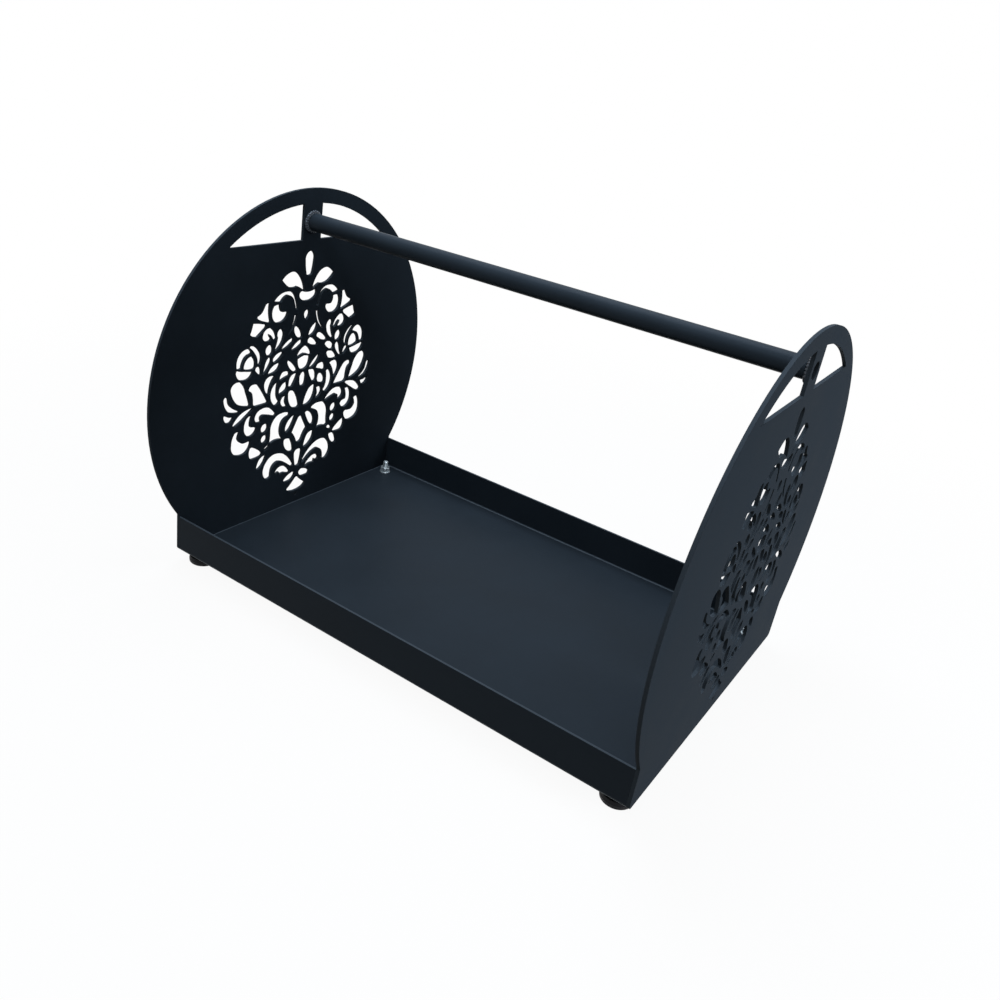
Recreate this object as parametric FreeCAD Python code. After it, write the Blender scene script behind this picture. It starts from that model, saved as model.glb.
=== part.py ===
import FreeCAD, Part
import math
import os

# Log cradle of sheet steel: two round side panels, a folded tray between them, a tube handle
# across the top and four levelling feet under the tray. Millimetres, X along the tray, Z up.
# The origin is on the ground under the middle of the tray.

# Side panels
disc_radius = 192.9
panel_thick = 3.0
shoulder_share = 0.5647
rim_width = 14.2
sill_share = 0.745

# Tray
tray_length = 494.0
tray_sheet = 2.0
tray_bend = 2.0
lip_height = 37.5
lip_drop = 2.0

# Handle
handle_diameter = 17.2
handle_wall = 1.4
handle_share = 0.8345
strip_margin = 3.8
weld_leg = 3.2
weld_crown = 0.45

# Levelling feet
stud_diameter = 6.0
stud_reach = 14.0
stud_chamfer = 0.8
nut_wall = 2.0
nut_height = 5.0
nut_chamfer = 0.6
washer_border = 1.2
washer_thick = 1.4
collar_height = 4.4
flange_ledge = 2.0
flange_thick = 2.5
pad_floor = 2.5
pad_lip = 2.6
pad_wall = 8.6
pad_round = 1.8
pad_chamfer = 1.2
foot_inset_x = 14.0
foot_inset_y = 19.0

# Clearances, the overrun of every cut and the tolerance for finding an edge
running_fit = 0.05
hole_clear = 0.35
seat_clear = 0.1
collar_clear = 0.2
weld_clear = 0.05
overrun = 5.0
edge_tolerance = 0.01

# Values that follow from the sizes above
stud_radius = stud_diameter / 2
handle_radius = handle_diameter / 2
handle_bore = handle_radius - handle_wall
shoulder_drop = disc_radius * shoulder_share
half_depth = math.sqrt(disc_radius ** 2 - shoulder_drop ** 2)
half_length = tray_length / 2
outer_bend = tray_bend + tray_sheet
pad_height = pad_floor + flange_thick + seat_clear + pad_lip
tray_bottom = pad_height + collar_clear + collar_height
floor_top = tray_bottom + tray_sheet
lip_top = tray_bottom + lip_height
shoulder_level = lip_top + lip_drop
disc_centre = shoulder_level + shoulder_drop
disc_top = disc_centre + disc_radius
window_radius = disc_radius - rim_width
sill_level = disc_radius * sill_share
strip_half = handle_radius + strip_margin
handle_level = disc_centre + disc_radius * handle_share
nut_flats = stud_diameter + 2 * nut_wall
washer_radius = nut_flats / 2 + washer_border
flange_radius = stud_radius + flange_ledge
pad_radius = flange_radius + pad_wall
foot_x = half_length - foot_inset_x
foot_y = half_depth - foot_inset_y
stud_top = floor_top + stud_reach

# The floral medallion is a set of cut-outs. Each point is (across, up, bend): places as shares
# of the disc's radius from its centre, then the bulge of the edge to the next point as a share
# of that edge's length. Outlines run clockwise, so a positive bend swells the opening.
# Openings on the middle line give their right half, from the top to the bottom.
middle_shares = {
    "top_drop": [
        (0.0, 0.688, 0.22), (0.034, 0.640, 0.03), (0.021, 0.567, 0.12), (0.0, 0.561, 0.0)],
    "cup": [
        (0.0, 0.474, -0.05), (0.045, 0.482, 0.25), (0.064, 0.460, 0.12), (0.044, 0.437, 0.08),
        (0.0, 0.427, 0.0)],
    "small_drop": [
        (0.0, 0.378, 0.22), (0.021, 0.354, 0.12), (0.0, 0.323, 0.0)],
    "acorn_cap": [
        (0.0, 0.180, 0.12), (0.056, 0.129, 0.2), (0.049, 0.120, -0.04), (0.0, 0.137, 0.0)],
    "acorn": [
        (0.0, 0.125, 0.03), (0.047, 0.112, 0.06), (0.039, 0.070, 0.15), (0.0, 0.047, 0.0)],
    "heart_seed": [
        (0.0, 0.033, 0.2), (0.025, -0.004, 0.05), (0.018, -0.043, 0.15), (0.0, -0.048, 0.0)],
    "diamond": [
        (0.0, -0.226, 0.15), (0.019, -0.238, 0.0), (0.059, -0.311, -0.05), (0.022, -0.370, 0.15),
        (0.0, -0.384, 0.0)],
    "low_drop": [
        (0.0, -0.427, 0.22), (0.031, -0.448, 0.03), (0.018, -0.526, 0.15), (0.0, -0.532, 0.0)],
    "fan": [
        (0.0, -0.600, 0.12), (0.015, -0.608, -0.03), (0.075, -0.660, 0.12), (0.035, -0.683, 0.05),
        (0.0, -0.687, 0.0)],
    "end_bead": [
        (0.0, -0.699, 0.2), (0.011, -0.709, 0.1), (0.0, -0.721, 0.0)],
}

# Openings on the right; each has its mirror image on the left.
side_shares = {
    "crown_leaf": [
        (0.027, 0.489, 0.08), (0.075, 0.574, 0.08), (0.125, 0.592, 0.09), (0.192, 0.556, 0.04),
        (0.146, 0.517, 0.09), (0.080, 0.512, -0.05), (0.040, 0.488, 0.1)],
    "scroll": [
        (0.068, 0.393, 0.04), (0.084, 0.444, 0.17), (0.150, 0.493, 0.12), (0.240, 0.454, 0.05),
        (0.189, 0.444, -0.1), (0.148, 0.474, -0.17), (0.096, 0.430, -0.05), (0.086, 0.392, 0.15)],
    "scroll_tail": [
        (0.068, 0.361, 0.1), (0.091, 0.359, -0.04), (0.103, 0.310, -0.04), (0.133, 0.262, 0.2),
        (0.126, 0.260, 0.05), (0.084, 0.308, 0.03)],
    "comma": [
        (0.195, 0.431, 0.07), (0.239, 0.428, 0.12), (0.250, 0.378, 0.2), (0.195, 0.336, 0.16),
        (0.140, 0.374, 0.25), (0.150, 0.390, -0.05), (0.182, 0.390, -0.12)],
    "trumpet_petal": [
        (0.266, 0.447, 0.15), (0.298, 0.443, -0.03), (0.320, 0.406, -0.05), (0.350, 0.389, 0.2),
        (0.345, 0.376, 0.03), (0.263, 0.345, 0.2), (0.259, 0.353, -0.06)],
    "trumpet_base": [
        (0.285, 0.337, 0.03), (0.377, 0.357, -0.03), (0.395, 0.303, 0.08), (0.345, 0.282, 0.0),
        (0.297, 0.317, 0.15)],
    "hook": [
        (0.211, 0.257, 0.12), (0.258, 0.317, 0.22), (0.309, 0.282, 0.15), (0.299, 0.257, 0.12),
        (0.260, 0.248, 0.2), (0.249, 0.260, -0.1), (0.262, 0.284, -0.08), (0.239, 0.260, 0.05),
        (0.222, 0.248, 0.2)],
    "curled_leaf": [
        (0.158, 0.262, 0.2), (0.190, 0.301, 0.25), (0.202, 0.258, -0.04), (0.222, 0.193, 0.2),
        (0.211, 0.188, 0.08), (0.166, 0.232, 0.03)],
    "bud_upper": [
        (0.022, 0.236, 0.14), (0.075, 0.299, 0.25), (0.087, 0.286, 0.18), (0.038, 0.229, 0.25)],
    "bud_lower": [
        (0.020, 0.203, 0.25), (0.042, 0.219, 0.08), (0.100, 0.175, 0.25), (0.089, 0.168, 0.06),
        (0.029, 0.190, 0.2)],
    "slim_leaf": [
        (0.086, 0.226, 0.25), (0.108, 0.237, 0.08), (0.172, 0.192, 0.25), (0.160, 0.184, 0.06),
        (0.097, 0.212, 0.2)],
    "seed": [
        (0.233, 0.190, 0.2), (0.259, 0.228, 0.2), (0.285, 0.196, 0.2), (0.254, 0.169, 0.2)],
    "leaf_upper": [
        (0.156, 0.163, 0.2), (0.180, 0.175, 0.1), (0.229, 0.149, 0.12), (0.225, 0.125, 0.1),
        (0.198, 0.129, 0.06)],
    "stem_leaf": [
        (0.240, 0.144, 0.22), (0.263, 0.159, 0.1), (0.286, 0.118, -0.04), (0.300, 0.078, 0.2),
        (0.288, 0.075, 0.06), (0.252, 0.113, 0.08)],
    "leaf_lower": [
        (0.175, 0.110, 0.2), (0.192, 0.117, 0.14), (0.262, 0.072, 0.2), (0.254, 0.066, 0.08),
        (0.196, 0.077, 0.1)],
    "rose_left": [
        (0.317, 0.137, 0.15), (0.325, 0.203, 0.1), (0.385, 0.243, 0.2), (0.394, 0.236, -0.05),
        (0.358, 0.200, -0.1), (0.337, 0.139, 0.2)],
    "rose_right": [
        (0.379, 0.206, 0.15), (0.415, 0.232, 0.18), (0.478, 0.170, 0.04), (0.476, 0.137, 0.1),
        (0.443, 0.135, -0.06), (0.434, 0.166, -0.12), (0.400, 0.199, 0.1)],
    "rose_heart": [
        (0.351, 0.129, 0.12), (0.366, 0.177, 0.15), (0.390, 0.187, 0.14), (0.427, 0.150, 0.1),
        (0.428, 0.129, 0.08), (0.360, 0.117, 0.12)],
    "rose_base": [
        (0.364, 0.105, -0.02), (0.430, 0.116, -0.04), (0.476, 0.128, 0.15), (0.478, 0.104, 0.15),
        (0.430, 0.068, 0.06), (0.398, 0.068, 0.14)],
    "rose_leaf": [
        (0.308, 0.082, 0.1), (0.320, 0.121, 0.1), (0.345, 0.122, 0.15), (0.350, 0.106, 0.05),
        (0.316, 0.075, 0.25)],
    "acorn_leaf": [
        (0.045, 0.052, 0.07), (0.116, 0.117, 0.25), (0.124, 0.107, 0.12), (0.063, 0.044, 0.25)],
    "bent_leaf": [
        (0.101, 0.036, 0.2), (0.122, 0.058, 0.08), (0.157, 0.058, 0.12), (0.174, 0.019, 0.2),
        (0.162, 0.014, -0.03), (0.112, 0.029, 0.2)],
    "inner_petal": [
        (0.040, 0.032, 0.2), (0.053, 0.035, 0.06), (0.087, 0.028, 0.12), (0.105, -0.012, 0.15),
        (0.099, -0.037, 0.1), (0.076, -0.036, 0.05)],
    "pebble": [
        (0.115, -0.017, 0.2), (0.129, -0.001, 0.12), (0.164, -0.021, 0.12), (0.175, -0.055, 0.22),
        (0.162, -0.063, 0.06), (0.120, -0.047, 0.15)],
    "long_crescent": [
        (0.183, 0.002, 0.2), (0.207, 0.004, 0.12), (0.235, -0.055, 0.14), (0.195, -0.122, 0.15),
        (0.167, -0.105, -0.1), (0.188, -0.050, -0.04)],
    "half_crescent": [
        (0.206, 0.045, 0.08), (0.245, 0.054, 0.2), (0.284, 0.010, 0.1), (0.259, -0.042, 0.2),
        (0.246, -0.042, -0.06), (0.229, 0.015, -0.04)],
    "flowing_petal": [
        (0.251, -0.087, 0.02), (0.318, 0.014, 0.12), (0.360, 0.032, 0.2), (0.390, 0.009, 0.1),
        (0.384, 0.001, -0.12), (0.363, -0.024, -0.03), (0.357, -0.073, 0.15), (0.338, -0.093, 0.01),
        (0.258, -0.093, 0.2)],
    "broad_petal": [
        (0.377, -0.078, 0.02), (0.403, -0.005, 0.1), (0.448, 0.061, 0.12), (0.488, 0.062, 0.17),
        (0.511, 0.028, 0.08), (0.468, -0.050, 0.06), (0.390, -0.081, 0.2)],
    "outer_leaf": [
        (0.447, -0.095, -0.06), (0.499, -0.065, -0.12), (0.523, -0.018, 0.15), (0.546, 0.002, 0.15),
        (0.556, -0.015, 0.1), (0.520, -0.084, 0.05), (0.458, -0.101, 0.25)],
    "outer_tip": [
        (0.486, -0.116, 0.02), (0.515, -0.114, -0.03), (0.547, -0.098, 0.2), (0.554, -0.105, 0.1),
        (0.535, -0.139, 0.1), (0.506, -0.144, 0.1)],
    "long_leaf": [
        (0.351, -0.101, 0.15), (0.372, -0.096, 0.06), (0.445, -0.116, 0.06), (0.492, -0.163, 0.2),
        (0.470, -0.174, 0.03), (0.405, -0.138, 0.02)],
    "arch_hook": [
        (0.186, -0.171, 0.05), (0.238, -0.125, 0.1), (0.300, -0.119, 0.16), (0.341, -0.160, 0.15),
        (0.322, -0.189, 0.05), (0.293, -0.191, -0.1), (0.297, -0.165, -0.15), (0.270, -0.157, -0.02),
        (0.200, -0.179, 0.2)],
    "inner_scroll": [
        (0.356, -0.139, 0.12), (0.395, -0.147, 0.1), (0.413, -0.200, 0.2), (0.365, -0.257, 0.15),
        (0.323, -0.226, 0.15), (0.340, -0.209, 0.0), (0.366, -0.204, -0.08), (0.366, -0.167, -0.03)],
    "bead_upper": [
        (0.241, -0.235, 0.5), (0.293, -0.235, 0.5)],
    "bead_lower": [
        (0.243, -0.298, 0.5), (0.289, -0.298, 0.5)],
    "great_scroll": [
        (0.083, -0.192, 0.1), (0.145, -0.177, 0.13), (0.205, -0.206, 0.1), (0.223, -0.265, -0.03),
        (0.227, -0.327, 0.15), (0.210, -0.334, -0.06), (0.165, -0.327, -0.04), (0.127, -0.334, -0.06),
        (0.146, -0.300, -0.1), (0.136, -0.229, -0.1), (0.091, -0.206, 0.2)],
    "scroll_seed": [
        (0.037, -0.216, 0.2), (0.058, -0.212, 0.1), (0.107, -0.255, 0.1), (0.110, -0.295, 0.2),
        (0.094, -0.300, 0.08), (0.059, -0.262, 0.03)],
    "diamond_leaf": [
        (0.039, -0.419, 0.06), (0.062, -0.354, 0.1), (0.106, -0.339, 0.2), (0.118, -0.351, 0.12),
        (0.090, -0.410, 0.08), (0.049, -0.429, 0.2)],
    "little_seed": [
        (0.224, -0.345, 0.2), (0.244, -0.343, 0.1), (0.267, -0.362, 0.2), (0.261, -0.370, 0.05),
        (0.233, -0.358, 0.2)],
    "corner_leaf": [
        (0.275, -0.381, 0.08), (0.300, -0.356, 0.03), (0.352, -0.324, 0.2), (0.367, -0.331, 0.12),
        (0.366, -0.381, 0.15), (0.340, -0.396, 0.03), (0.290, -0.393, 0.15)],
    "outer_scroll": [
        (0.440, -0.214, 0.15), (0.477, -0.213, 0.08), (0.497, -0.275, 0.2), (0.450, -0.344, 0.08),
        (0.398, -0.345, 0.12), (0.362, -0.298, 0.2), (0.377, -0.280, -0.04), (0.420, -0.283, -0.12),
        (0.452, -0.250, -0.03)],
    "stem_seed": [
        (0.244, -0.400, 0.12), (0.275, -0.398, 0.12), (0.309, -0.436, 0.08), (0.314, -0.465, 0.12),
        (0.288, -0.464, 0.06), (0.257, -0.432, 0.03)],
    "great_arch": [
        (0.030, -0.516, 0.06), (0.100, -0.437, 0.08), (0.178, -0.410, 0.12), (0.243, -0.442, 0.1),
        (0.265, -0.500, 0.1), (0.238, -0.546, 0.12), (0.204, -0.541, -0.02), (0.201, -0.505, -0.17),
        (0.150, -0.462, -0.06), (0.085, -0.492, 0.02), (0.042, -0.523, 0.2)],
    "arch_leaf": [
        (0.056, -0.552, 0.06), (0.100, -0.508, 0.1), (0.135, -0.498, 0.15), (0.172, -0.525, 0.2),
        (0.160, -0.538, -0.05), (0.141, -0.529, 0.02), (0.137, -0.548, -0.05), (0.096, -0.546, 0.02),
        (0.066, -0.557, 0.2)],
    "fan_leaf": [
        (0.014, -0.578, 0.15), (0.036, -0.560, 0.08), (0.101, -0.592, 0.2), (0.092, -0.611, 0.03),
        (0.046, -0.610, 0.12)],
    "heart_petal": [
        (0.015, -0.157, 0.05), (0.048, -0.079, 0.1), (0.092, -0.058, 0.2), (0.104, -0.080, 0.08),
        (0.085, -0.144, 0.12), (0.031, -0.169, 0.2)],
    "small_crescent": [
        (0.113, -0.083, 0.12), (0.145, -0.084, 0.12), (0.159, -0.112, 0.12), (0.128, -0.145, 0.05),
        (0.106, -0.146, -0.06), (0.121, -0.115, -0.05)],
}


def vec(x, y, z):
    return FreeCAD.Vector(x, y, z)


def bent_edge(start, end, bend):
    """Edge between two points of a YZ plane, bulging to the left by a share of its length."""
    if bend == 0:
        return Part.makeLine(start, end)
    along = end - start
    middle = (start + end) * 0.5 + vec(0, -along.z, along.y) * bend
    return Part.Arc(start, middle, end).toShape()


def opening(points, x_low, x_high):
    """Prism through a panel under one closed outline of (across, up, bend) points."""
    corners = [vec(x_low, u * disc_radius, disc_centre + v * disc_radius) for u, v, _ in points]
    edges = []
    for index, (_, _, bend) in enumerate(points):
        edges.append(bent_edge(corners[index], corners[(index + 1) % len(corners)], bend))
    return Part.Face(Part.Wire(edges)).extrude(vec(x_high - x_low, 0, 0))


def mirrored(points):
    """The same outline on the other side of the middle line."""
    return [(-u, v, -bend) for u, v, bend in points]


def whole(points):
    """Full clockwise outline from the right half of an opening on the middle line."""
    bends = [bend for _, _, bend in points]
    back = [(-points[i][0], points[i][1], bends[i - 1]) for i in range(len(points) - 1, 0, -1)]
    return points[:-1] + back


def side_panel(x_low):
    """Round panel with shoulders and rounded corners at the foot, two windows and the medallion."""
    x_high = x_low + panel_thick
    cut_low = x_low - overrun
    cut_high = x_high + overrun
    left_side = vec(x_low, -half_depth, tray_bottom + outer_bend)
    right_side = vec(x_low, half_depth, tray_bottom + outer_bend)
    left_base = vec(x_low, outer_bend - half_depth, tray_bottom)
    right_base = vec(x_low, half_depth - outer_bend, tray_bottom)
    left_shoulder = vec(x_low, -half_depth, shoulder_level)
    right_shoulder = vec(x_low, half_depth, shoulder_level)
    quarter = math.sqrt(0.5) - 0.5
    outline = Part.Wire([
        Part.makeLine(left_side, left_shoulder),
        Part.Arc(left_shoulder, vec(x_low, 0, disc_top), right_shoulder).toShape(),
        Part.makeLine(right_shoulder, right_side),
        bent_edge(right_side, right_base, quarter),
        Part.makeLine(right_base, left_base),
        bent_edge(left_base, left_side, quarter)])
    plate = Part.Face(outline).extrude(vec(panel_thick, 0, 0))
    cuts = [window(cut_low, cut_high, 1), window(cut_low, cut_high, -1)]
    for points in middle_shares.values():
        cuts.append(opening(whole(points), cut_low, cut_high))
    for points in side_shares.values():
        cuts.append(opening(points, cut_low, cut_high))
        cuts.append(opening(mirrored(points), cut_low, cut_high))
    cuts.append(Part.makeCylinder(
        handle_bore, cut_high - cut_low, vec(cut_low, 0, handle_level), vec(1, 0, 0)))
    return plate.cut(cuts)


def window(x_low, x_high, side):
    """Opening between the rim, the sill and the middle strip, on one side of the strip."""
    sill_z = disc_centre + sill_level
    far_y = side * math.sqrt(window_radius ** 2 - sill_level ** 2)
    near_y = side * strip_half
    near_z = disc_centre + math.sqrt(window_radius ** 2 - strip_half ** 2)
    turn = (math.atan2(sill_level, abs(far_y)) + math.atan2(near_z - disc_centre, strip_half)) / 2
    arc_y = side * window_radius * math.cos(turn)
    arc_z = disc_centre + window_radius * math.sin(turn)
    far = vec(x_low, far_y, sill_z)
    foot = vec(x_low, near_y, sill_z)
    head = vec(x_low, near_y, near_z)
    wire = Part.Wire([
        Part.makeLine(far, foot),
        Part.makeLine(foot, head),
        Part.Arc(head, vec(x_low, arc_y, arc_z), far).toShape()])
    return Part.Face(wire).extrude(vec(x_high - x_low, 0, 0))


def tray():
    """Sheet folded up along its front and back, with a hole for each foot's stud."""
    block = Part.makeBox(tray_length, 2 * half_depth, lip_height, vec(-half_length, -half_depth, tray_bottom))
    block = block.makeFillet(outer_bend, lengthwise_edges(block, tray_bottom))
    inner_half = half_depth - tray_sheet
    hollow_length = tray_length + 2 * overrun
    hollow = Part.makeBox(
        hollow_length, 2 * inner_half, lip_height + overrun, vec(-hollow_length / 2, -inner_half, floor_top))
    hollow = hollow.makeFillet(tray_bend, lengthwise_edges(hollow, floor_top))
    holes = []
    for x in (-foot_x, foot_x):
        for y in (-foot_y, foot_y):
            holes.append(Part.makeCylinder(
                stud_radius + hole_clear, tray_sheet + 2 * overrun, vec(x, y, tray_bottom - overrun)))
    return block.cut([hollow] + holes)


def lengthwise_edges(box, level):
    """Edges of a box that run along X at one height."""
    found = []
    for edge in box.Edges:
        first, last = edge.Vertexes[0].Point, edge.Vertexes[1].Point
        along_x = abs(first.y - last.y) < edge_tolerance and abs(first.z - last.z) < edge_tolerance
        if along_x and abs(first.z - level) < edge_tolerance:
            found.append(edge)
    return found


def handle():
    """Tube between the inner faces of the two panels."""
    start = vec(-half_length, 0, handle_level)
    tube = Part.makeCylinder(handle_radius, tray_length, start, vec(1, 0, 0))
    bore = Part.makeCylinder(
        handle_bore, tray_length + 2 * overrun, start - vec(overrun, 0, 0), vec(1, 0, 0))
    return tube.cut(bore)


def handle_weld(side):
    """Crowned fillet weld around one end of the handle, against the panel's inner face."""
    face_x = side * half_length
    low = handle_level + handle_radius + weld_clear
    high = handle_level + handle_radius + weld_leg
    tip_x = face_x - side * weld_leg
    root = vec(face_x, 0, low)
    on_panel = vec(face_x, 0, high)
    on_tube = vec(tip_x, 0, low)
    bow = weld_leg * weld_crown
    crown = vec((face_x + tip_x) / 2 - side * bow / 2, 0, (low + high) / 2 + bow / 2)
    profile = Part.Wire([
        Part.makeLine(root, on_panel),
        Part.Arc(on_panel, crown, on_tube).toShape(),
        Part.makeLine(on_tube, root)])
    return Part.Face(profile).revolve(vec(0, 0, handle_level), vec(1, 0, 0), 360)


def hexagon(flats, height, base):
    """Upright hexagonal prism with two flats facing front and back."""
    radius = flats / math.sqrt(3)
    corners = []
    for step in range(7):
        turn = math.radians(60 * step)
        corners.append(base + vec(radius * math.cos(turn), radius * math.sin(turn), 0))
    return Part.Face(Part.makePolygon(corners)).extrude(vec(0, 0, height))


def turned(points, x, y):
    """Solid of revolution about an upright axis from a closed (radius, height) outline."""
    corners = [vec(x + r, y, z) for r, z in points]
    profile = Part.makePolygon(corners + corners[:1])
    return Part.Face(profile).revolve(vec(x, y, 0), vec(0, 0, 1), 360)


def foot_pad(x, y):
    """Round pad with a rounded base, a bevelled top and a pocket that holds the stud's flange."""
    flat = x + pad_radius - pad_round
    side = x + pad_radius
    swing = pad_round * math.sqrt(0.5)
    profile = Part.Wire([
        Part.makeLine(vec(x, y, 0), vec(flat, y, 0)),
        Part.Arc(vec(flat, y, 0), vec(flat + swing, y, pad_round - swing), vec(side, y, pad_round)).toShape(),
        Part.makeLine(vec(side, y, pad_round), vec(side, y, pad_height - pad_chamfer)),
        Part.makeLine(vec(side, y, pad_height - pad_chamfer), vec(side - pad_chamfer, y, pad_height)),
        Part.makeLine(vec(side - pad_chamfer, y, pad_height), vec(x, y, pad_height)),
        Part.makeLine(vec(x, y, pad_height), vec(x, y, 0))])
    pad = Part.Face(profile).revolve(vec(x, y, 0), vec(0, 0, 1), 360)
    pocket = Part.makeCylinder(
        flange_radius + running_fit, flange_thick + seat_clear, vec(x, y, pad_floor))
    neck = Part.makeCylinder(
        stud_radius + running_fit, pad_lip + overrun, vec(x, y, pad_height - pad_lip))
    return pad.cut([pocket, neck])


def foot_stud(x, y):
    """Stud with a flange in the pad, a hexagonal collar under the tray and a bevelled tip."""
    flange_top = pad_floor + flange_thick
    rod = turned([
        (0, pad_floor), (flange_radius, pad_floor), (flange_radius, flange_top),
        (stud_radius, flange_top), (stud_radius, stud_top - stud_chamfer),
        (stud_radius - stud_chamfer, stud_top), (0, stud_top)], x, y)
    collar = hexagon(nut_flats, collar_height, vec(x, y, pad_height + collar_clear))
    return rod.fuse(collar).removeSplitter()


def foot_washer(x, y):
    """Flat ring on the tray's floor."""
    ring = Part.makeCylinder(washer_radius, washer_thick, vec(x, y, floor_top))
    hole = Part.makeCylinder(
        stud_radius + hole_clear, washer_thick + 2 * overrun, vec(x, y, floor_top - overrun))
    return ring.cut(hole)


def foot_nut(x, y):
    """Hexagonal nut with bevelled corners on the washer."""
    seat = floor_top + washer_thick
    corner = nut_flats / math.sqrt(3)
    body = hexagon(nut_flats, nut_height, vec(x, y, seat))
    turn = turned([
        (0, seat), (corner, seat), (corner, seat + nut_height - nut_chamfer),
        (corner - nut_chamfer / math.tan(math.radians(30)), seat + nut_height),
        (0, seat + nut_height)], x, y)
    bore = Part.makeCylinder(
        stud_radius + running_fit, nut_height + 2 * overrun, vec(x, y, seat - overrun))
    return body.common(turn).cut(bore)


def save(name, shape):
    shape.exportStep("parts/" + name + ".step")


os.makedirs("parts", exist_ok=True)
right_panel = side_panel(half_length)
left_panel = right_panel.copy()
left_panel.translate(vec(-tray_length - panel_thick, 0, 0))
save("right_side_panel", right_panel)
save("left_side_panel", left_panel)
save("log_tray", tray())
save("carry_handle", handle())
save("left_handle_weld", handle_weld(-1))
save("right_handle_weld", handle_weld(1))
for row, y_side in (("front", -1), ("back", 1)):
    for end, x_side in (("left", -1), ("right", 1)):
        place = row + "_" + end
        x = x_side * foot_x
        y = y_side * foot_y
        save(place + "_foot_pad", foot_pad(x, y))
        save(place + "_foot_stud", foot_stud(x, y))
        save(place + "_washer", foot_washer(x, y))
        save(place + "_lock_nut", foot_nut(x, y))
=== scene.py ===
import math

import bpy
import numpy as np
from mathutils import Matrix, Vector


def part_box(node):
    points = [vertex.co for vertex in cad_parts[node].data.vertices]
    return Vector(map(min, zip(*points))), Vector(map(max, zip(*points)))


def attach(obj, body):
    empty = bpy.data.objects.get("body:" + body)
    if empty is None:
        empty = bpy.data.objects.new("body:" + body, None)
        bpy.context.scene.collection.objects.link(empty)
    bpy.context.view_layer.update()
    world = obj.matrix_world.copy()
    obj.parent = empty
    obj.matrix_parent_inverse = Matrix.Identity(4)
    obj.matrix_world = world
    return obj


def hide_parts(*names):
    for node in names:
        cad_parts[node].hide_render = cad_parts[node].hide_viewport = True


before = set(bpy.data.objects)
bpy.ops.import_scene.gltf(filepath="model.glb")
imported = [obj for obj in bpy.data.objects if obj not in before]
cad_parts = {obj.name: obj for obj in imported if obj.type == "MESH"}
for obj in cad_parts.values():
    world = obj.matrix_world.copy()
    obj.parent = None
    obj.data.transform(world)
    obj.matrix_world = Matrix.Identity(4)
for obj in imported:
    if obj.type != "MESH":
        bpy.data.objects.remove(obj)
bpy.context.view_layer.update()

bl_info = {
    "name": "Log Cradle",
    "version": (1, 0, 0),
    "blender": (4, 5, 0),
    "location": "View3D > Sidebar > Log Cradle",
    "description": "Dresses a sheet-steel log cradle: powder coat, weld beads, levelling feet and a studio",
    "category": "Object",
}

PLACES = ("front_left", "front_right", "back_left", "back_right")
COATED = {
    "left_side_panel": "panel_coat",
    "right_side_panel": "panel_coat",
    "log_tray": "tray_coat",
    "carry_handle": "handle_coat",
}

# Specular level, mean roughness and share of the written colour of each powder coat. All are one black coat:
# the panels' lower share is painted shade and the handle's higher share a painted highlight.
COAT_LOOKS = {
    "panels": (0.003, 0.5, 0.78),
    "tray": (0.04, 0.48, 1.0),
    "handle": (0.04, 0.4, 1.4),
    "weld": (0.55, 0.22, 0.7),
}
# How far the roughness goes to either side of its mean, the share of the line colour painted on cut edges as
# painted light, and what the darker places of the floor's mottle keep of its colour.
DULL_SPREAD = 0.06
EDGE_LIGHT_SHARE = 0.4
MOTTLE_SHADE = 0.985
WHITE = (1.0, 1.0, 1.0, 1.0)

# Small forms that the sidebar does not offer, in metres.
WELD_GAP = 0.00005
BEAD_CROWN = 0.0005
FLANGE_BEVEL = 0.0003
THREAD_START = 0.0001
NUT_SINK = 0.0005
WASHER_SINK = 0.0002
PARTING_HALF = 0.0002
PARTING_RISE = 0.0001
PAD_TOP_INSET = 0.0014
PAD_TOP_ROUND = 0.0012
PAD_NECK_BEVEL = 0.0003
SEAT_CLEAR = 0.0001
RUNNING_FIT = 0.00005

# Shares of the size that each one scales. Ripples and slow waves of the weld take their shares of the
# ripple height, and the crown's share of its bulge goes along each leg.
RIPPLE_RISE = 0.7
RIPPLE_SHARE = 0.8
WAVE_SHARE = 0.5
CROWN_SHARE = 0.7
COLLAR_CONE = 0.985
NUT_CONE = 0.97
TIP_SHARE = 0.95
WASHER_ROUND = 0.28
PAD_BASE_SHARE = 0.6

# The thread's tooth: its slope against the share of a pitch, and what is taken off for a flat crest.
TOOTH_SLOPE = 2.5
TOOTH_CREST = 0.15

# Angles: where shading turns sharp, and the rise of the cones that bevel a hexagon.
SHARP_ANGLE = math.radians(40)
HEX_CONE = math.tan(math.radians(30))

# Points around the turned pieces, and rows or steps along their profiles.
BEAD_TURNS, BEAD_ROWS = 360, 15
STUD_TURNS, COLLAR_ROWS, ROWS_PER_PITCH = 72, 13, 14
NUT_TURNS, NUT_ROWS = 96, 21
WASHER_TURNS, WASHER_STEPS = 96, 6
PAD_TURNS, PAD_BASE_STEPS, PAD_TOP_STEPS = 120, 9, 7

# Studio, in metres: inner rings of the floor, then place, target, width and depth of each lamp.
FLOOR_TURNS = 96
FLOOR_RINGS = (0.0, 0.5, 1.0, 2.0)
LAMPS = {
    "overhead_softbox": ((-0.3, 0.25, 1.7), (0.0, 0.0, 0.1), 1.2, 1.2),
    "side_softbox": ((1.6, 0.2, 0.32), (0.25, 0.0, 0.25), 0.5, 0.5),
    "front_strip": ((0.3, -1.0, 1.45), (0.0, 0.0, 0.3), 1.2, 0.14),
}

# Camera: the sensor's width in millimetres and the clipping distances in metres.
SENSOR_WIDTH = 36.0
CLIP_NEAR, CLIP_FAR = 0.01, 50.0


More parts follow.
